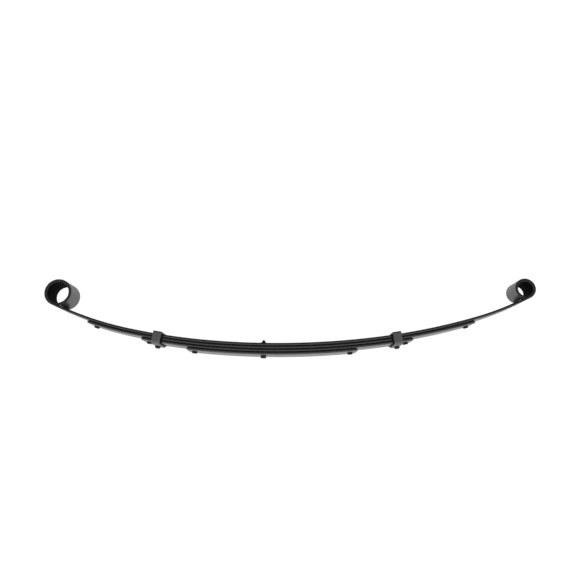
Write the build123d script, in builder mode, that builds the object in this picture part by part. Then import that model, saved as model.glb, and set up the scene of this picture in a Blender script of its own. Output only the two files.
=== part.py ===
"""Four-leaf semi-elliptic leaf spring: rolled main leaf, three shorter leaves, centre bolt,
tip inserts and two clinch clips. Millimetres, +X to the rear, +Y across the leaves, +Z up.
The origin is on the centre bolt, where its head bears on the underside of the fourth leaf."""

import os
from math import cos, degrees, sin

from build123d import *

# Leaves
LEAF_WIDTH = 63.5
LEAF_THICKNESS = 7.1
LEAF_GAP = 0.3
LEAF_NAMES = ("main_leaf", "second_leaf", "third_leaf", "fourth_leaf")
LEAF_PITCH = LEAF_THICKNESS + LEAF_GAP
MAIN_LEAF_TOP = len(LEAF_NAMES) * LEAF_PITCH - LEAF_GAP
TIP_CORNER_RADIUS = 12.0
FRONT, REAR = -1, 1

# The main leaf's top face, from the centre bolt outwards: (distance along the leaf, radius)
LEAF_ARCS = {
    FRONT: ((130.0, 2000.0), (340.0, 1650.0), (546.0, 870.0)),
    REAR: ((300.0, 2000.0), (540.0, 1630.0), (688.0, 760.0)),
}
# Reach of each shorter leaf along the same line, front and rear
LEAF_REACH = {
    "second_leaf": {FRONT: 446.0, REAR: 535.0},
    "third_leaf": {FRONT: 304.0, REAR: 373.0},
    "fourth_leaf": {FRONT: 189.0, REAR: 233.0},
}

# Rolled eyes: the leaf's top face becomes the bore. The end is sheared at a slant, so the roll turns
# further inside than outside, and its end face lies down on the leaf
EYE_BORE = {FRONT: 54.0, REAR: 38.1}
EYE_ROLL_INSIDE = {FRONT: 336.0, REAR: 332.0}
EYE_ROLL_OUTSIDE = {FRONT: 320.5, REAR: 314.5}

# How far a cutting tool starts and ends outside the metal
OVERCUT = 1.0

# Centre bolt, 5/16 in, with a round head below and a low nut above
BOLT_DIAMETER = 7.9
BOLT_HOLE = 8.5
BOLT_HEAD_DIAMETER = 14.0
BOLT_HEAD_HEIGHT = 6.0
BOLT_HEAD_CHAMFER = 0.8
BOLT_END_CHAMFER = 1.0
BOLT_STAND_OUT = 9.7
NUT_ACROSS_FLATS = 12.7
NUT_HEIGHT = 4.8
NUT_SEAT_GAP = 0.3
NUT_CONE_DIAMETER = 15.9
NUT_CONE_ANGLE = 12.0

# Tip inserts: a disc let into the tip's top face, a stem and a button below
INSERT_SETBACK = {"second_leaf": 20.5, "third_leaf": 17.5, "fourth_leaf": 18.0}
INSERT_DISC_DIAMETER = 22.0
INSERT_DISC_DEPTH = 1.6
INSERT_STEM_DIAMETER = 8.0
INSERT_BUTTON_DIAMETER = 14.0
INSERT_BUTTON_HEIGHT = 4.5
INSERT_BUTTON_TAPER = 4.0
INSERT_FIT = 0.1

# Clinch clips round the three upper leaves. Each liner stands out of its strap towards the bolt
CLIP_REACH = {FRONT: 264.0, REAR: 333.0}
CLIP_LEAVES = 3
STRAP_WIDTH = 21.0
STRAP_THICKNESS = 3.8
STRAP_TOP_RADIUS = 1.2
STRAP_BOTTOM_RADIUS = 5.0
STRAP_TOP_OPENING = 14.0
LINER_WIDTH = 25.5
LINER_SHIFT = 2.0
LINER_THICKNESS = 1.7
LINER_INNER_RADIUS = 0.5
CLIP_CLEARANCE = 0.3
RIVET_DIAMETER = 9.5
RIVET_HOLE_CLEARANCE = 0.3
RIVET_SET_DIAMETER = 16.0
RIVET_SET_DEPTH = 3.0
RIVET_HEAD_DIAMETER = 14.0
RIVET_HEAD_HEIGHT = 6.5
RIVET_HEAD_ROUNDING = 3.9

os.makedirs("parts", exist_ok=True)


def write(piece, name):
    """Label a finished piece and write its STEP file."""
    piece.label = name
    export_step(piece, f"parts/{name}.step")


def leaf_depth(name):
    """Depth of a leaf's top face below the main leaf's top face."""
    return LEAF_NAMES.index(name) * LEAF_PITCH


def draw_arcs(side, reach, depth):
    """Draw one side of a leaf face from the bolt outwards; return its end point and heading."""
    point, heading, done = (0, MAIN_LEAF_TOP - depth), (side, 0), 0.0
    for limit, radius in LEAF_ARCS[side]:
        length = min(limit, reach) - done
        if length <= 0:
            break
        arc = JernArc(point, heading, radius + depth, side * degrees(length / radius))
        point, heading, done = arc @ 1, arc % 1, limit
    return point, heading


def station(side, reach, depth):
    """Plane on the leaves, `depth` below the main leaf's top face: X to the rear, Z up the normal."""
    x, z, angle, done = 0.0, MAIN_LEAF_TOP, 0.0, 0.0
    for limit, radius in LEAF_ARCS[side]:
        length = min(limit, reach) - done
        if length <= 0:
            break
        turn = length / radius
        x += radius * (sin(angle + turn) - sin(angle))
        z += radius * (cos(angle) - cos(angle + turn))
        angle, done = angle + turn, limit
    normal = Vector(-side * sin(angle), 0, cos(angle))
    along = Vector(cos(angle), 0, side * sin(angle))
    return Plane(Vector(side * x, 0, z) - normal * depth, x_dir=along, z_dir=normal)


def bore(plane, radius, above, below):
    """Cut a round hole along a station's normal through the current part."""
    with BuildSketch(plane.offset(above)) as hole:
        Circle(radius)
    extrude(hole.sketch, amount=-(above + below), mode=Mode.SUBTRACT)


def sleeve(plane, size, top_radius, bottom_radius, width, mode=Mode.ADD):
    """Add, or cut with `mode`, a block round the leaves with its four long corners rounded."""
    with BuildSketch(plane) as outline:
        Rectangle(*size)
        fillet(outline.vertices().group_by(Axis.Y)[0], radius=bottom_radius)
        fillet(outline.vertices().group_by(Axis.Y)[-1], radius=top_radius)
    extrude(outline.sketch, amount=width / 2, both=True, mode=mode)


# Main leaf: one bar, with an eye rolled upwards at each end
with BuildPart() as main_leaf:
    with BuildSketch(Plane.XZ):
        with BuildLine():
            for side in (FRONT, REAR):
                full_reach = LEAF_ARCS[side][-1][0]
                bore_radius = EYE_BORE[side] / 2
                back_radius = bore_radius + LEAF_THICKNESS
                inner_start, heading = draw_arcs(side, full_reach, 0)
                outer_start, heading = draw_arcs(side, full_reach, LEAF_THICKNESS)
                inner = JernArc(inner_start, heading, bore_radius, side * EYE_ROLL_INSIDE[side])
                outer = JernArc(outer_start, heading, back_radius, side * EYE_ROLL_OUTSIDE[side])
                Line(inner @ 1, outer @ 1)
        make_face()
    extrude(amount=LEAF_WIDTH / 2, both=True)
    bore(station(FRONT, 0, 0), BOLT_HOLE / 2, OVERCUT, LEAF_THICKNESS + OVERCUT)
write(main_leaf.part, "main_leaf")

# Shorter leaves: the same line, each one leaf lower, with rounded corners and punched holes
for name, reach in LEAF_REACH.items():
    top = leaf_depth(name)
    with BuildPart() as leaf:
        with BuildSketch(Plane.XZ):
            with BuildLine():
                for side in (FRONT, REAR):
                    upper_end, heading = draw_arcs(side, reach[side], top)
                    lower_end, heading = draw_arcs(side, reach[side], top + LEAF_THICKNESS)
                    Line(upper_end, lower_end)
            make_face()
        extrude(amount=LEAF_WIDTH / 2, both=True)
        corners = leaf.edges().group_by(SortBy.LENGTH)[0]
        fillet(corners, radius=TIP_CORNER_RADIUS)
        through = LEAF_THICKNESS + OVERCUT
        bore(station(FRONT, 0, top), BOLT_HOLE / 2, OVERCUT, through)
        for side in (FRONT, REAR):
            tip = station(side, reach[side] - INSERT_SETBACK[name], top)
            bore(tip, INSERT_STEM_DIAMETER / 2 + INSERT_FIT, OVERCUT, through)
            bore(tip, INSERT_DISC_DIAMETER / 2 + INSERT_FIT, OVERCUT, INSERT_DISC_DEPTH)
            if name == LEAF_NAMES[CLIP_LEAVES - 1]:
                seat = station(side, CLIP_REACH[side], top)
                set_radius = RIVET_SET_DIAMETER / 2 + RIVET_HOLE_CLEARANCE
                bore(seat, RIVET_DIAMETER / 2 + RIVET_HOLE_CLEARANCE, OVERCUT, through)
                bore(seat, set_radius, OVERCUT, RIVET_SET_DEPTH + RIVET_HOLE_CLEARANCE)
    write(leaf.part, name)

# Centre bolt, head down, through all four leaves
with BuildPart() as centre_bolt:
    with BuildSketch():
        Circle(BOLT_DIAMETER / 2)
    extrude(amount=MAIN_LEAF_TOP + BOLT_STAND_OUT)
    chamfer(centre_bolt.faces().sort_by(Axis.Z)[-1].edges(), length=BOLT_END_CHAMFER)
    with BuildSketch():
        Circle(BOLT_HEAD_DIAMETER / 2)
    extrude(amount=-BOLT_HEAD_HEIGHT)
    chamfer(centre_bolt.faces().sort_by(Axis.Z)[0].edges(), length=BOLT_HEAD_CHAMFER)
write(centre_bolt.part, "centre_bolt")

# Low hexagon nut, screwed down on the main leaf
with BuildPart() as centre_nut:
    with BuildSketch(Plane.XY.offset(MAIN_LEAF_TOP + NUT_SEAT_GAP)):
        RegularPolygon(NUT_ACROSS_FLATS / 2, 6, major_radius=False)
        Circle(BOLT_DIAMETER / 2, mode=Mode.SUBTRACT)
    extrude(amount=NUT_HEIGHT)
    with BuildSketch(Plane.XY.offset(MAIN_LEAF_TOP + NUT_SEAT_GAP)):
        Circle(NUT_CONE_DIAMETER / 2)
    extrude(amount=NUT_HEIGHT, taper=NUT_CONE_ANGLE, mode=Mode.INTERSECT)
write(centre_nut.part, "centre_nut")

# Tip inserts, pressed into the tips of the three shorter leaves
for name, reach in LEAF_REACH.items():
    for side, end in ((FRONT, "front"), (REAR, "rear")):
        tip = station(side, reach[side] - INSERT_SETBACK[name], leaf_depth(name))
        with BuildPart() as tip_insert:
            with BuildSketch(tip):
                Circle(INSERT_DISC_DIAMETER / 2)
            extrude(amount=-INSERT_DISC_DEPTH)
            with BuildSketch(tip):
                Circle(INSERT_STEM_DIAMETER / 2)
            extrude(amount=-LEAF_THICKNESS)
            with BuildSketch(tip.offset(-LEAF_THICKNESS)):
                Circle(INSERT_BUTTON_DIAMETER / 2)
            extrude(amount=-INSERT_BUTTON_HEIGHT, taper=INSERT_BUTTON_TAPER)
        write(tip_insert.part, f"{name}_{end}_insert")

# Clinch clips: rubber liner, U-strap folded over the top, and the rivet that holds it
stack_height = CLIP_LEAVES * LEAF_PITCH - LEAF_GAP
liner_inner = (LEAF_WIDTH + 2 * CLIP_CLEARANCE, stack_height + 2 * CLIP_CLEARANCE)
liner_outer = tuple(size + 2 * LINER_THICKNESS for size in liner_inner)
strap_outer = tuple(size + 2 * STRAP_THICKNESS for size in liner_outer)
strap_base = LEAF_THICKNESS + CLIP_CLEARANCE + LINER_THICKNESS + STRAP_THICKNESS
rivet_hole = RIVET_DIAMETER / 2 + RIVET_HOLE_CLEARANCE
for side, end in ((FRONT, "front"), (REAR, "rear")):
    top_face = station(side, CLIP_REACH[side], 0)
    middle = top_face.origin - top_face.z_dir * stack_height / 2
    section = Plane(middle, x_dir=(0, 1, 0), z_dir=top_face.x_dir)
    rivet_seat = station(side, CLIP_REACH[side], leaf_depth(LEAF_NAMES[CLIP_LEAVES - 1]))

    with BuildPart() as liner:
        liner_section = section.offset(-side * LINER_SHIFT)
        sleeve(liner_section, liner_outer, STRAP_TOP_RADIUS, STRAP_BOTTOM_RADIUS, LINER_WIDTH)
        inner = (liner_section, liner_inner, LINER_INNER_RADIUS, LINER_INNER_RADIUS)
        sleeve(*inner, 2 * LINER_WIDTH, mode=Mode.SUBTRACT)
        bore(rivet_seat.offset(-LEAF_THICKNESS), rivet_hole, 0, strap_base)
    write(liner.part, f"{end}_clip_liner")

    with BuildPart() as strap:
        outer_radii = (STRAP_TOP_RADIUS + STRAP_THICKNESS, STRAP_BOTTOM_RADIUS + STRAP_THICKNESS)
        sleeve(section, strap_outer, *outer_radii, STRAP_WIDTH)
        inner = (section, liner_outer, STRAP_TOP_RADIUS, STRAP_BOTTOM_RADIUS)
        sleeve(*inner, 2 * STRAP_WIDTH, mode=Mode.SUBTRACT)
        with BuildSketch(top_face):
            Rectangle(2 * STRAP_WIDTH, STRAP_TOP_OPENING)
        extrude(amount=strap_outer[1], mode=Mode.SUBTRACT)
        bore(rivet_seat.offset(-LEAF_THICKNESS), rivet_hole, 0, strap_base)
    write(strap.part, f"{end}_clip_strap")

    with BuildPart() as rivet:
        with BuildSketch(rivet_seat):
            Circle(RIVET_SET_DIAMETER / 2)
        extrude(amount=-RIVET_SET_DEPTH)
        with BuildSketch(rivet_seat):
            Circle(RIVET_DIAMETER / 2)
        extrude(amount=-strap_base)
        with BuildSketch(rivet_seat.offset(-strap_base)):
            Circle(RIVET_HEAD_DIAMETER / 2)
        extrude(amount=-RIVET_HEAD_HEIGHT)
        head_rim = rivet.edges().group_by(Axis(rivet_seat.origin, rivet_seat.z_dir))[0]
        fillet(head_rim, radius=RIVET_HEAD_ROUNDING)
    write(rivet.part, f"{end}_clip_rivet")
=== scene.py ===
"""Four-leaf semi-elliptic leaf spring in black satin coating, at its free height over a pale floor.

Metres, +X to the rear, +Y across the leaves, +Z up. The origin is on the centre bolt, where its head
bears on the underside of the fourth leaf."""

from math import ceil, pi, radians, tan

import bpy
import numpy as np
from mathutils import Matrix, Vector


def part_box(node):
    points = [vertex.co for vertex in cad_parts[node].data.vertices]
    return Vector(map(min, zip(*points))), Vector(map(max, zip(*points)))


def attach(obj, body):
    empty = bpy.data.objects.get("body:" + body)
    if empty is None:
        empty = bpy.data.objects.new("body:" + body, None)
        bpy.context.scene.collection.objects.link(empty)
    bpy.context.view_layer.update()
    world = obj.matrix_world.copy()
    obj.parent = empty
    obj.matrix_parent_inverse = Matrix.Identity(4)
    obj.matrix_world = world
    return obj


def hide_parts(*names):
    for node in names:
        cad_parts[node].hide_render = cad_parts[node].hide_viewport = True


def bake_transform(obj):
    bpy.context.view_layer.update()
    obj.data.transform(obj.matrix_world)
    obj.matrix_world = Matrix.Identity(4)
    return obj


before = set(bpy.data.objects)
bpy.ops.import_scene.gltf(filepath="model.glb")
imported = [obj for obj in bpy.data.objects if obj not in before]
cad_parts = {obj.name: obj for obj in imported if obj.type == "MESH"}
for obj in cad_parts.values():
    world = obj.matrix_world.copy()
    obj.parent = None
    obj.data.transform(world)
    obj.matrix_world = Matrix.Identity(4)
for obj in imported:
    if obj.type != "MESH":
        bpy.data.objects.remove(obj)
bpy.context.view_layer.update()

# ------------------------------------------------------------------------------------------------
# Main leaf
# One bar of spring steel with mill-rounded edges, arched and rolled up into an eye at each end.
# It is hardened, shot peened and coated black, and bends between the axle seat and each eye.
# ------------------------------------------------------------------------------------------------
FRONT, REAR = -1, 1
END_NAMES = {FRONT: "front", REAR: "rear"}
LEAF_NAMES = ("main_leaf", "second_leaf", "third_leaf", "fourth_leaf")
LEAF_THICKNESS = 0.0071
LEAF_GAP = 0.0003
LEAF_PITCH = LEAF_THICKNESS + LEAF_GAP
MAIN_LEAF_TOP = len(LEAF_NAMES) * LEAF_PITCH - LEAF_GAP
leaf_low, leaf_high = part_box("main_leaf")
leaf_width = leaf_high.y - leaf_low.y

# Rounding of the long edges and of the eyes' sides, and the length over which one turns into the other
LEAF_EDGE_RADIUS = 0.0032
EYE_EDGE_RADIUS = 0.0008
EDGE_FADE = 0.040

# The main leaf's top face from the bolt outwards: (distance along it, radius)
LEAF_ARCS = {
    FRONT: ((0.130, 2.000), (0.340, 1.650), (0.546, 0.870)),
    REAR: ((0.300, 2.000), (0.540, 1.630), (0.688, 0.760)),
}

# The rolled eyes: the bore's radius, and how far the top and the bottom face go round it
EYE_RADIUS = {FRONT: 0.0270, REAR: 0.01905}
EYE_ROLL_INSIDE = {FRONT: radians(336.0), REAR: radians(332.0)}
EYE_ROLL_OUTSIDE = {FRONT: radians(320.5), REAR: radians(314.5)}

# Fineness of the mesh, and the angle above which an edge stays sharp
MARK_SPACING = 0.006
MARK_TURN = radians(3)
EDGE_STEPS = 6
CORNER_STEPS = 9
CREASE_ANGLE = radians(38)


def bend(arcs, along, depth):
    """Lay flat stock along a chain of arcs: its place outwards and upwards, and its heading.

    Each arc turns the heading by its length over its radius. A point lies at the end of the arcs
    that are `along` long, less `depth` times the normal there."""
    along, depth = np.broadcast_arrays(np.asarray(along, float), np.asarray(depth, float))
    out, up, heading, start = np.zeros(along.shape), np.zeros(along.shape), np.zeros(along.shape), 0.0
    for end, radius in arcs:
        turned = heading + (np.clip(along, start, end) - start) / radius
        out = out + radius * (np.sin(turned) - np.sin(heading))
        up = up + radius * (np.cos(heading) - np.cos(turned))
        heading, start = turned, end
    return out + np.sin(heading) * depth, up - np.cos(heading) * depth, heading


def marks_along(arcs, reach):
    """Distances from 0 to reach: even steps on each arc, short enough and with little enough turn."""
    marks, start = [np.zeros(1)], 0.0
    for end, radius in arcs:
        length = min(end, reach) - start
        if length > 0:
            count = ceil(max(length / MARK_SPACING, length / radius / MARK_TURN))
            marks.append(start + length * np.arange(1, count + 1) / count)
            start += length
    return np.concatenate(marks)


def half_blank(side, arcs, reach, corner):
    """Half a flat leaf, bolt to tip, as rings of (along, across, depth).

    Rings follow the outline: marks along the side, then a quarter circle round the tip's corner,
    unless the corner is 0 and the end is square. Over the rounded edge a point stands in from the
    outline by edge radius * (1 - sin t) and down by edge radius * (1 - cos t). The eye's sides are
    faced flat, so the edge radius falls just before it. Each ring is that half on the right, then
    its mirror on the left."""
    marks = marks_along(arcs, reach - corner)
    round_corner = np.linspace(0, pi / 2, CORNER_STEPS)[1:] if corner else np.zeros(0)
    turn = np.concatenate([np.zeros(len(marks)), round_corner])[:, None]
    marks = np.concatenate([marks, np.full(len(round_corner), marks[-1])])[:, None]
    eye_start = LEAF_ARCS[side][-1][0]
    edge = np.interp(marks, (eye_start - EDGE_FADE, eye_start), (LEAF_EDGE_RADIUS, EYE_EDGE_RADIUS))
    t = np.linspace(0, pi / 2, EDGE_STEPS)
    inset, drop = edge * (1 - np.sin(t)), edge * (1 - np.cos(t))
    inset = np.concatenate([inset, inset[:, ::-1]], 1)
    drop = np.concatenate([drop, LEAF_THICKNESS - drop[:, ::-1]], 1)
    along = marks + (corner - inset) * np.sin(turn)
    across = leaf_width / 2 - corner + (corner - inset) * np.cos(turn)
    right = np.stack([along, across, drop], -1)
    left = right[:, ::-1] * (1, -1, 1)
    return np.concatenate([right, left], 1)


def tube_faces(rows, ring, closed=False):
    """Quads between closed rings. An open tube's two ends are filled by strips across the ring."""
    i, j = np.meshgrid(np.arange(rows if closed else rows - 1), np.arange(ring), indexing="ij")
    next_i, next_j = (i + 1) % rows, (j + 1) % ring
    corners = [i * ring + j, i * ring + next_j, next_i * ring + next_j, next_i * ring + j]
    quads = np.stack(corners, -1).reshape(-1, 4)
    if closed:
        return quads
    a = np.arange(ring // 2 - 1)
    cap = np.stack([a, ring - 1 - a, ring - 2 - a, a + 1], -1)
    return np.concatenate([quads, cap, cap[:, ::-1] + (rows - 1) * ring])


def make_piece(name, rings, material, closed=False):
    """A smooth mesh object from rings of points, with creases kept sharp.

    Its faces are turned outwards by the sign of the volume that they enclose, which is a sixth of
    the sum of each quad's first corner dotted with the cross products along its two triangles."""
    faces = tube_faces(*rings.shape[:2], closed)
    points = rings.reshape(-1, 3)
    a, b, c, d = (points[faces[:, k]] for k in range(4))
    if np.sum(a * (np.cross(b, c) + np.cross(c, d))) < 0:
        faces = faces[:, ::-1]
    mesh = bpy.data.meshes.new(name)
    mesh.from_pydata(points.tolist(), [], faces.tolist())
    mesh.shade_smooth()
    mesh.set_sharp_from_angle(angle=CREASE_ANGLE)
    mesh.materials.append(material)
    piece = bpy.data.objects.new(name, mesh)
    bpy.context.scene.collection.objects.link(piece)
    weighted = piece.modifiers.new("face_weighted_normals", "WEIGHTED_NORMAL")
    weighted.keep_sharp = True
    return piece


# Skin of the coated steel: noise scales per metre, the streaks' by axis so that they run across the
# leaves, and the part of the patches' range that the roughness follows
PATCH_SCALE, PATCH_DETAIL, PATCH_ROUGHNESS = 38.0, 6.0, 0.6
PATCH_LOW, PATCH_HIGH = 0.3, 0.7
DIMPLE_DETAIL = 3.0
DRAW_MARK_SCALE = (520.0, 14.0, 520.0)
DRAW_MARK_DETAIL = 2.0
BUMP_STRENGTH = 0.5


def make_skin_group():
    """Node group for peened, coated steel: a slow patchy mask, and a height with dimples and marks.

    The height is the marks' noise times its share, plus the dimples' noise."""
    group = bpy.data.node_groups.new("coated_skin", "ShaderNodeTree")
    for socket in ("Dimples per Metre", "Draw Marks"):
        group.interface.new_socket(socket, in_out="INPUT", socket_type="NodeSocketFloat")
    for socket in ("Patches", "Height"):
        group.interface.new_socket(socket, in_out="OUTPUT", socket_type="NodeSocketFloat")
    nodes, links = group.nodes, group.links
    given, result = nodes.new("NodeGroupInput"), nodes.new("NodeGroupOutput")
    place = nodes.new("ShaderNodeTexCoord").outputs["Object"]

    patches = nodes.new("ShaderNodeTexNoise")
    patches.inputs["Scale"].default_value = PATCH_SCALE
    patches.inputs["Detail"].default_value = PATCH_DETAIL
    patches.inputs["Roughness"].default_value = PATCH_ROUGHNESS
    links.new(place, patches.inputs["Vector"])
    links.new(patches.outputs["Fac"], result.inputs["Patches"])

    dimples = nodes.new("ShaderNodeTexNoise")
    dimples.inputs["Detail"].default_value = DIMPLE_DETAIL
    links.new(place, dimples.inputs["Vector"])
    links.new(given.outputs["Dimples per Metre"], dimples.inputs["Scale"])

    stretch = nodes.new("ShaderNodeMapping")
    stretch.inputs["Scale"].default_value = DRAW_MARK_SCALE
    marks = nodes.new("ShaderNodeTexNoise")
    marks.inputs["Scale"].default_value = 1.0
    marks.inputs["Detail"].default_value = DRAW_MARK_DETAIL
    links.new(place, stretch.inputs["Vector"])
    links.new(stretch.outputs["Vector"], marks.inputs["Vector"])

    height = nodes.new("ShaderNodeMath")
    height.operation = "MULTIPLY_ADD"
    links.new(marks.outputs["Fac"], height.inputs[0])
    links.new(given.outputs["Draw Marks"], height.inputs[1])
    links.new(dimples.outputs["Fac"], height.inputs[2])
    links.new(height.outputs[0], result.inputs["Height"])
    return group


skin_group = make_skin_group()


def make_coat(name, dark, light, roughness, specular, dimples, draw_marks, depth):
    """A coated finish: two shades and two roughnesses by the skin's patches, and a bump of its height."""
    material = bpy.data.materials.new(name)
    material.use_nodes = True
    nodes, links = material.node_tree.nodes, material.node_tree.links
    shader = nodes["Principled BSDF"]
    shader.inputs["Specular IOR Level"].default_value = specular
    skin = nodes.new("ShaderNodeGroup")
    skin.node_tree = skin_group
    skin.inputs["Dimples per Metre"].default_value = dimples
    skin.inputs["Draw Marks"].default_value = draw_marks

    shade = nodes.new("ShaderNodeMix")
    shade.data_type = "RGBA"
    shade.inputs["A"].default_value = (*dark, 1)
    shade.inputs["B"].default_value = (*light, 1)
    links.new(skin.outputs["Patches"], shade.inputs["Factor"])
    links.new(shade.outputs["Result"], shader.inputs["Base Color"])

    gloss = nodes.new("ShaderNodeMapRange")
    gloss.inputs["From Min"].default_value = PATCH_LOW
    gloss.inputs["From Max"].default_value = PATCH_HIGH
    gloss.inputs["To Min"].default_value = roughness[0]
    gloss.inputs["To Max"].default_value = roughness[1]
    links.new(skin.outputs["Patches"], gloss.inputs["Value"])
    links.new(gloss.outputs["Result"], shader.inputs["Roughness"])

    bump = nodes.new("ShaderNodeBump")
    bump.inputs["Strength"].default_value = BUMP_STRENGTH
    bump.inputs["Distance"].default_value = depth
    links.new(skin.outputs["Height"], bump.inputs["Height"])
    links.new(bump.outputs["Normal"], shader.inputs["Normal"])
    return material


leaf_coat = make_coat(
    "leaf_coat",
    dark=(0.012, 0.012, 0.013),
    light=(0.022, 0.022, 0.023),
    roughness=(0.32, 0.42),
    specular=0.8,
    dimples=500.0,
    draw_marks=0.8,
    depth=0.00003,
)


def bend_with_leaves(piece):
    """Bake the piece's placement into its mesh."""
    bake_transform(piece)


def make_half_leaf(name, side, arcs, flat):
    """Half a leaf from the bolt outwards, bent onto the spring's line under the leaves above it."""
    top = LEAF_NAMES.index(name) * LEAF_PITCH
    out, up, _ = bend(arcs, flat[..., 0], flat[..., 2] + top)
    rings = np.stack([side * out, flat[..., 1], MAIN_LEAF_TOP + up], -1)
    half = make_piece(f"{name}_{END_NAMES[side]}", rings, leaf_coat)
    bend_with_leaves(half)
    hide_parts(name)
    return half


# Inside the eyes the coat is painted near black and dull: painted shade for the bore, which the light
# hardly reaches
bore_painted_shade_coat = make_coat(
    "bore_painted_shade_coat",
    dark=(0.003, 0.003, 0.003),
    light=(0.006, 0.006, 0.006),
    roughness=(0.80, 0.92),
    specular=0.05,
    dimples=700.0,
    draw_marks=0.5,
    depth=0.00005,
)

for side in (FRONT, REAR):
    radius = EYE_RADIUS[side]
    eye_start = LEAF_ARCS[side][-1][0]
    eye_end = eye_start + radius * EYE_ROLL_OUTSIDE[side]
    slant = radius * (EYE_ROLL_INSIDE[side] - EYE_ROLL_OUTSIDE[side])
    rolled = (*LEAF_ARCS[side], (eye_end + slant, radius))
    flat = half_blank(side, rolled, eye_end, 0)
    # The end is sheared at a slant: the top face runs on past the bottom face
    share = np.clip((flat[..., 0] - eye_start) / (eye_end - eye_start), 0, 1)
    flat[..., 0] += slant * share * (1 - flat[..., 2] / LEAF_THICKNESS)
    half = make_half_leaf("main_leaf", side, rolled, flat)
    # Faces whose middle lies nearer to the eye's axis than its radius are the bore, which takes the
    # painted-shade coat
    half.data.materials.append(bore_painted_shade_coat)
    out, up, _ = bend(rolled, eye_start, -radius)
    middles = np.empty(3 * len(half.data.polygons))
    half.data.polygons.foreach_get("center", middles)
    x, _, z = middles.reshape(-1, 3).T
    from_axis = np.hypot(x - side * out, z - MAIN_LEAF_TOP - up)
    half.data.polygons.foreach_set("material_index", (from_axis < radius).astype(np.int32))

# ------------------------------------------------------------------------------------------------
# Second, third and fourth leaves
# Shorter bars of the same stock under the main leaf, sheared with rounded corners and drawn to the
# same line, so that the pack nests.
# ------------------------------------------------------------------------------------------------
TIP_CORNER = 0.0120
LEAF_REACH = {
    "second_leaf": {FRONT: 0.446, REAR: 0.535},
    "third_leaf": {FRONT: 0.304, REAR: 0.373},
    "fourth_leaf": {FRONT: 0.189, REAR: 0.233},
}
for name, reach in LEAF_REACH.items():
    for side in (FRONT, REAR):
        flat = half_blank(side, LEAF_ARCS[side], reach[side], TIP_CORNER)
        make_half_leaf(name, side, LEAF_ARCS[side], flat)

# ------------------------------------------------------------------------------------------------
# Tip inserts
# Polymer pads moulded in one piece: a disc let into the top of the leaf's tip keeps the leaves
# apart, a stem goes through the leaf, and a button below holds the pad in.
# ------------------------------------------------------------------------------------------------
INSERT_SETBACK = {"second_leaf": 0.0205, "third_leaf": 0.0175, "fourth_leaf": 0.0180}
INSERT_DISC_RADIUS = 0.0110
INSERT_DISC_DEPTH = 0.0016
INSERT_STEM_RADIUS = 0.0040
INSERT_BUTTON_RADIUS = 0.0070
INSERT_BUTTON_TAPER = 0.0003
INSERT_BUTTON_HEIGHT = 0.0045
INSERT_BUTTON_ROUND = 0.0016
TURN_STEPS = 48
ROUND_STEPS = 6

insert_polymer = make_coat(
    "insert_polymer",
    dark=(0.004, 0.004, 0.004),
    light=(0.008, 0.008, 0.008),
    roughness=(0.55, 0.68),
    specular=0.2,
    dimples=1400.0,
    draw_marks=0.0,
    depth=0.00004,
)


def rounded(corner, radius, start, end, steps=ROUND_STEPS):
    """Profile points on an arc about `corner`, from one angle to another in degrees."""
    angles = np.radians(np.linspace(start, end, steps))
    return np.stack([corner[0] + radius * np.cos(angles), corner[1] + radius * np.sin(angles)], -1)


def turned(profile, steps=TURN_STEPS):
    """Rings of a profile of (radius, height) revolved about the vertical axis."""
    angles = 2 * pi * np.arange(steps) / steps
    radius, height = np.asarray(profile)[:, 0, None], np.asarray(profile)[:, 1, None]
    return np.stack([radius * np.cos(angles), radius * np.sin(angles), height + 0 * angles], -1)


def set_on_leaf(rings, side, reach, depth):
    """Carry local rings to a place on the leaves: X along them to the rear, Z up their normal."""
    out, up, heading = bend(LEAF_ARCS[side], reach, depth)
    axes = np.array(
        [
            [np.cos(heading), 0, side * np.sin(heading)],
            [0, 1, 0],
            [-side * np.sin(heading), 0, np.cos(heading)],
        ]
    )
    return rings @ axes + (side * out, 0, MAIN_LEAF_TOP + up)


button_end = -LEAF_THICKNESS - INSERT_BUTTON_HEIGHT
button_corner = (
    INSERT_BUTTON_RADIUS - INSERT_BUTTON_TAPER - INSERT_BUTTON_ROUND,
    button_end + INSERT_BUTTON_ROUND,
)
insert_profile = np.concatenate([
    rounded(button_corner, INSERT_BUTTON_ROUND, -90, 0),
    [(INSERT_BUTTON_RADIUS, -LEAF_THICKNESS), (INSERT_STEM_RADIUS, -LEAF_THICKNESS)],
    [(INSERT_STEM_RADIUS, -INSERT_DISC_DEPTH), (INSERT_DISC_RADIUS, -INSERT_DISC_DEPTH)],
    [(INSERT_DISC_RADIUS, 0)],
])
for name, reach in LEAF_REACH.items():
    for side, end in END_NAMES.items():
        depth = LEAF_NAMES.index(name) * LEAF_PITCH
        rings = set_on_leaf(turned(insert_profile), side, reach[side] - INSERT_SETBACK[name], depth)
        tip_insert = make_piece(f"{name}_{end}_tip_insert", rings, insert_polymer)
        bend_with_leaves(tip_insert)
        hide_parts(f"{name}_{end}_insert")

# ------------------------------------------------------------------------------------------------
# Centre bolt
# A 5/16 in fine-thread bolt through all four leaves. Its round head locates the spring on the axle
# seat, and its threaded end stands above the nut.
# ------------------------------------------------------------------------------------------------
BOLT_RADIUS = 0.00395
BOLT_HEAD_RADIUS = 0.0070
BOLT_HEAD_HEIGHT = 0.0060
BOLT_HEAD_ROUND = 0.0008
BOLT_STAND_OUT = 0.0097
THREAD_PITCH = 0.001058
THREAD_DEPTH = 0.00062
THREAD_LENGTH = 0.0120
THREAD_STEPS = 8
BOLT_END_CHAMFER = 0.0010

fastener_black = make_coat(
    "fastener_black",
    dark=(0.006, 0.006, 0.006),
    light=(0.016, 0.015, 0.014),
    roughness=(0.42, 0.58),
    specular=0.3,
    dimples=1800.0,
    draw_marks=0.0,
    depth=0.00004,
)

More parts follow.
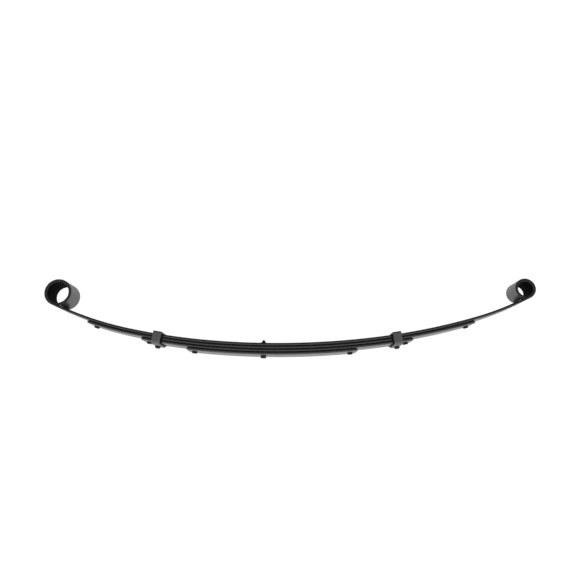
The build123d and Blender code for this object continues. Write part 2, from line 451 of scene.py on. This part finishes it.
bolt_top = MAIN_LEAF_TOP + BOLT_STAND_OUT
head_corner = (BOLT_HEAD_RADIUS - BOLT_HEAD_ROUND, -BOLT_HEAD_HEIGHT + BOLT_HEAD_ROUND)
plain_part = turned(np.concatenate([
    rounded(head_corner, BOLT_HEAD_ROUND, -90, 0),
    rounded((BOLT_HEAD_RADIUS - BOLT_HEAD_ROUND / 2, -BOLT_HEAD_ROUND / 2), BOLT_HEAD_ROUND / 2, 0, 90),
    [(BOLT_RADIUS, 0), (BOLT_RADIUS, bolt_top - THREAD_LENGTH - THREAD_PITCH)],
]))

# Thread: the radius falls from crest to root by a triangle wave of height over pitch less turn,
# and the chamfer caps it near the end
levels = ceil(THREAD_LENGTH / THREAD_PITCH * THREAD_STEPS)
heights = np.linspace(bolt_top - THREAD_LENGTH, bolt_top, levels)[:, None]
angles = 2 * pi * np.arange(TURN_STEPS) / TURN_STEPS
wave = (heights / THREAD_PITCH - angles / (2 * pi)) % 1
radius = BOLT_RADIUS - THREAD_DEPTH * np.abs(2 * wave - 1)
radius = np.minimum(radius, BOLT_RADIUS - BOLT_END_CHAMFER + (bolt_top - heights))
thread_part = np.stack([radius * np.cos(angles), radius * np.sin(angles), heights + 0 * angles], -1)
centre_bolt = make_piece(
    "centre_bolt_threaded", np.concatenate([plain_part, thread_part]), fastener_black
)
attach(centre_bolt, "axle_seat")
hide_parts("centre_bolt")

# ------------------------------------------------------------------------------------------------
# Centre nut
# A low hexagon nut, 12.7 mm across flats with its corners turned to a cone, run down on the main
# leaf so that the four leaves stay together.
# ------------------------------------------------------------------------------------------------
NUT_FLAT_RADIUS = 0.00635
NUT_HEIGHT = 0.0048
NUT_SEAT_GAP = 0.0001
NUT_CONE_RADIUS = 0.00795
NUT_CONE_ANGLE = radians(12)
NUT_STEPS = 96
NUT_LEVELS = 12

# Outside: the hexagon's radius, flat distance over the cosine of the angle from the nearest flat's
# middle, cut by a cone that narrows upwards. Inside: the bore, back down
angles = 2 * pi * np.arange(NUT_STEPS) / NUT_STEPS
from_flat = (angles + pi / 6) % (pi / 3) - pi / 6
heights = np.linspace(0, NUT_HEIGHT, NUT_LEVELS)[:, None]
outside = np.minimum(NUT_FLAT_RADIUS / np.cos(from_flat), NUT_CONE_RADIUS - heights * tan(NUT_CONE_ANGLE))
inside = np.full((2, NUT_STEPS), BOLT_RADIUS)
radius = np.concatenate([outside, inside])
heights = MAIN_LEAF_TOP + NUT_SEAT_GAP + np.concatenate([heights, [[NUT_HEIGHT], [0]]])
rings = np.stack([radius * np.cos(angles), radius * np.sin(angles), heights + 0 * angles], -1)
centre_nut = make_piece("centre_nut_low", rings, fastener_black, closed=True)
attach(centre_nut, "axle_seat")
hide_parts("centre_nut")

# ------------------------------------------------------------------------------------------------
# Clip liners
# Black rubber sleeves, 1.7 mm thick, that keep each clip from rattling on the three upper leaves.
# They stand out of the strap on the side towards the bolt.
# ------------------------------------------------------------------------------------------------
CLIP_REACH = {FRONT: 0.264, REAR: 0.333}
CLIP_LEAVES = 3
CLIP_CLEARANCE = 0.0003
LINER_WIDTH = 0.0255
LINER_SHIFT = 0.0020
LINER_THICKNESS = 0.0017
LINER_TOP_RADIUS = 0.0005
LINER_BOTTOM_RADIUS = 0.0020
LINER_EDGE = 0.0005
STRAP_TOP_RADIUS = 0.0012
STRAP_BOTTOM_RADIUS = 0.0050
OUTLINE_STEPS = 8
SECTION_STEPS = 4

liner_rubber = make_coat(
    "liner_rubber",
    dark=(0.003, 0.003, 0.003),
    light=(0.007, 0.007, 0.007),
    roughness=(0.70, 0.85),
    specular=0.2,
    dimples=2200.0,
    draw_marks=0.0,
    depth=0.00003,
)

stack_height = CLIP_LEAVES * LEAF_PITCH - LEAF_GAP
liner_inner = np.array([leaf_width, stack_height]) + 2 * CLIP_CLEARANCE
liner_outer = liner_inner + 2 * LINER_THICKNESS


def outline(size, top_radius, bottom_radius, opening=None):
    """Outline round the leaves, from the top down the right, under and up the left: (across, up).

    Its corners are quarter circles. With an opening it starts and ends at that gap in the top."""
    top = rounded((size[0] / 2 - top_radius, size[1] / 2 - top_radius), top_radius, 90, 0, OUTLINE_STEPS)
    low_corner = (size[0] / 2 - bottom_radius, -size[1] / 2 + bottom_radius)
    low = rounded(low_corner, bottom_radius, 0, -90, OUTLINE_STEPS)
    right = np.concatenate([top, low] if opening is None else [[(opening / 2, size[1] / 2)], top, low])
    return np.concatenate([right, right[::-1] * (-1, 1)])


def band(inner, outer, width, thickness, edge):
    """Rings of a band that fills the space between two outlines, with rounded edges.

    A ring goes round the band's section: width by a share from inner, 0, to outer, 1, whose four
    corners are quarter circles of radius `edge`."""
    share = edge / thickness
    corners = ((1, 1, 0), (-1, 1, 90), (-1, -1, 180), (1, -1, 270))
    along, across = [], []
    for right, up, start in corners:
        angles = np.radians(np.linspace(start, start + 90, SECTION_STEPS))
        along.append(right * (width / 2 - edge) + edge * np.cos(angles))
        across.append(0.5 + up * (0.5 - share) + share * np.sin(angles))
    along, across = np.concatenate(along), np.concatenate(across)[:, None]
    place = inner[:, None] + (outer - inner)[:, None] * across
    return np.concatenate([np.broadcast_to(along[:, None], (*place.shape[:2], 1)), place], -1)


clip_middle = stack_height / 2
for side, end in END_NAMES.items():
    rings = band(
        outline(liner_inner, LINER_TOP_RADIUS, LINER_BOTTOM_RADIUS),
        outline(liner_outer, STRAP_TOP_RADIUS, STRAP_BOTTOM_RADIUS),
        LINER_WIDTH, LINER_THICKNESS, LINER_EDGE,
    )
    rings = set_on_leaf(rings - (side * LINER_SHIFT, 0, 0), side, CLIP_REACH[side], clip_middle)
    liner = make_piece(f"{end}_clip_sleeve", rings, liner_rubber, closed=True)
    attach(liner, f"{end}_clip")
    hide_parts(f"{end}_clip_liner")

# ------------------------------------------------------------------------------------------------
# Clip straps
# Strips of mild steel bent to a U from below, riveted to the third leaf, and clinched over the
# main leaf with a gap between the two arms.
# ------------------------------------------------------------------------------------------------
STRAP_WIDTH = 0.0210
STRAP_THICKNESS = 0.0038
STRAP_EDGE = 0.0009
STRAP_OPENING = 0.0140

# The strap's shades are far lighter than the leaves' black: painted sheen standing in for the light that
# the flat plates reflect
strap_coat_painted_sheen = make_coat(
    "strap_coat_painted_sheen",
    dark=(0.095, 0.095, 0.096),
    light=(0.150, 0.150, 0.152),
    roughness=(0.44, 0.58),
    specular=0.5,
    dimples=900.0,
    draw_marks=0.3,
    depth=0.00010,
)

strap_outer = liner_outer + 2 * STRAP_THICKNESS
outer_radii = (STRAP_TOP_RADIUS + STRAP_THICKNESS, STRAP_BOTTOM_RADIUS + STRAP_THICKNESS)
for side, end in END_NAMES.items():
    rings = band(
        outline(liner_outer, STRAP_TOP_RADIUS, STRAP_BOTTOM_RADIUS, STRAP_OPENING),
        outline(strap_outer, *outer_radii, STRAP_OPENING),
        STRAP_WIDTH, STRAP_THICKNESS, STRAP_EDGE,
    )
    rings = set_on_leaf(rings, side, CLIP_REACH[side], clip_middle)
    strap = make_piece(f"{end}_clip_band", rings, strap_coat_painted_sheen)
    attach(strap, f"{end}_clip")
    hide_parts(f"{end}_clip_strap")

# ------------------------------------------------------------------------------------------------
# Clip rivets
# Steel rivets that hold each strap under the third leaf: a set head sunk a little below the leaf's
# top face, and a thick button head under the strap.
# ------------------------------------------------------------------------------------------------
RIVET_RADIUS = 0.00475
RIVET_SET_RADIUS = 0.0080
RIVET_SET_DEPTH = 0.0030
RIVET_SINK = 0.0004
RIVET_HEAD_RADIUS = 0.0070
RIVET_HEAD_HEIGHT = 0.0065
RIVET_HEAD_ROUND = 0.0039
RIVET_ROUND_STEPS = 10

rivet_seat = (CLIP_LEAVES - 1) * LEAF_PITCH
strap_base = -(LEAF_THICKNESS + CLIP_CLEARANCE + LINER_THICKNESS + STRAP_THICKNESS)
rivet_corner = (RIVET_HEAD_RADIUS - RIVET_HEAD_ROUND, strap_base - RIVET_HEAD_HEIGHT + RIVET_HEAD_ROUND)
rivet_profile = np.concatenate([
    rounded(rivet_corner, RIVET_HEAD_ROUND, -90, 0, RIVET_ROUND_STEPS),
    [(RIVET_HEAD_RADIUS, strap_base), (RIVET_RADIUS, strap_base), (RIVET_RADIUS, -RIVET_SET_DEPTH)],
    [(RIVET_SET_RADIUS, -RIVET_SET_DEPTH), (RIVET_SET_RADIUS, -RIVET_SINK)],
])
for side, end in END_NAMES.items():
    rings = set_on_leaf(turned(rivet_profile), side, CLIP_REACH[side], rivet_seat)
    rivet = make_piece(f"{end}_clip_button_rivet", rings, fastener_black)
    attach(rivet, f"{end}_clip")
    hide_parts(f"{end}_clip_rivet")

# ------------------------------------------------------------------------------------------------
# Floor, light and camera
# A light table below and a lit wall behind and at the sides, with the front and the ceiling left dim.
# A camera low in front of the spring is tilted up at it.
# ------------------------------------------------------------------------------------------------
FLOOR_HEIGHT = -0.34
FLOOR_REACH = 30.0
FLOOR_SHADE = 0.93
FLOOR_ROUGHNESS = 0.9
FLOOR_GLOW = 0.80

# The light by direction: the wall brightens from its first to its second Y, and ends between two Zs
BACKDROP_STRENGTH = 1.05
ROOM_STRENGTH = 0.10
WALL_STRENGTH = 0.95
WALL_FROM, WALL_TO = -0.6, 0.4
CEILING_FROM, CEILING_TO = 0.35, 0.80

floor_mesh = bpy.data.meshes.new("floor")
signs = ((-1, -1), (1, -1), (1, 1), (-1, 1))
floor_corners = [(x * FLOOR_REACH, y * FLOOR_REACH, FLOOR_HEIGHT) for x, y in signs]
floor_mesh.from_pydata(floor_corners, [], [(0, 1, 2, 3)])
floor = bpy.data.objects.new("floor", floor_mesh)
bpy.context.scene.collection.objects.link(floor)
floor_paint = bpy.data.materials.new("floor_paint")
floor_paint.use_nodes = True
table = floor_paint.node_tree.nodes["Principled BSDF"].inputs
table["Base Color"].default_value = (FLOOR_SHADE, FLOOR_SHADE, FLOOR_SHADE, 1)
table["Roughness"].default_value = FLOOR_ROUGHNESS
table["Emission Color"].default_value = (1, 1, 1, 1)
table["Emission Strength"].default_value = FLOOR_GLOW
floor_mesh.materials.append(floor_paint)

world = bpy.data.worlds.new("studio")
world.use_nodes = True
bpy.context.scene.world = world
bpy.context.scene.view_settings.view_transform = "Standard"
nodes, links = world.node_tree.nodes, world.node_tree.links
direction = nodes.new("ShaderNodeSeparateXYZ")
links.new(nodes.new("ShaderNodeTexCoord").outputs["Generated"], direction.inputs["Vector"])


def ramp(component, start, end, low, high):
    """A value that eases from low to high while one component of the direction goes start to end."""
    node = nodes.new("ShaderNodeMapRange")
    node.interpolation_type = "SMOOTHSTEP"
    limits = {"From Min": start, "From Max": end, "To Min": low, "To Max": high}
    for socket, value in limits.items():
        node.inputs[socket].default_value = value
    links.new(direction.outputs[component], node.inputs["Value"])
    return node.outputs["Result"]


# Room light plus the wall's, which fades out towards the ceiling
room = nodes.new("ShaderNodeMath")
room.operation = "MULTIPLY_ADD"
links.new(ramp("Y", WALL_FROM, WALL_TO, 0, WALL_STRENGTH), room.inputs[0])
links.new(ramp("Z", CEILING_FROM, CEILING_TO, 1, 0), room.inputs[1])
room.inputs[2].default_value = ROOM_STRENGTH

# The camera itself sees a plain white backdrop
strength = nodes.new("ShaderNodeMix")
strength.inputs["B"].default_value = BACKDROP_STRENGTH
links.new(nodes.new("ShaderNodeLightPath").outputs["Is Camera Ray"], strength.inputs["Factor"])
links.new(room.outputs[0], strength.inputs["A"])
nodes["Background"].inputs["Color"].default_value = (1, 1, 1, 1)
links.new(strength.outputs["Result"], nodes["Background"].inputs["Strength"])

CAMERA_PLACE = (0.0672, -1.41875, -0.1562)
CAMERA_PITCH = radians(13.10)
CAMERA_ROLL = radians(-1.02)
CAMERA_LENS = 35.07
CAMERA_REACH = 100.0
camera_data = bpy.data.cameras.new("camera")
camera_data.lens = CAMERA_LENS
camera_data.clip_end = CAMERA_REACH
camera = bpy.data.objects.new("camera", camera_data)
bpy.context.scene.collection.objects.link(camera)
turn = Matrix.Rotation(CAMERA_ROLL, 4, "Y") @ Matrix.Rotation(pi / 2 + CAMERA_PITCH, 4, "X")
camera.matrix_world = Matrix.Translation(CAMERA_PLACE) @ turn
bpy.context.scene.camera = camera
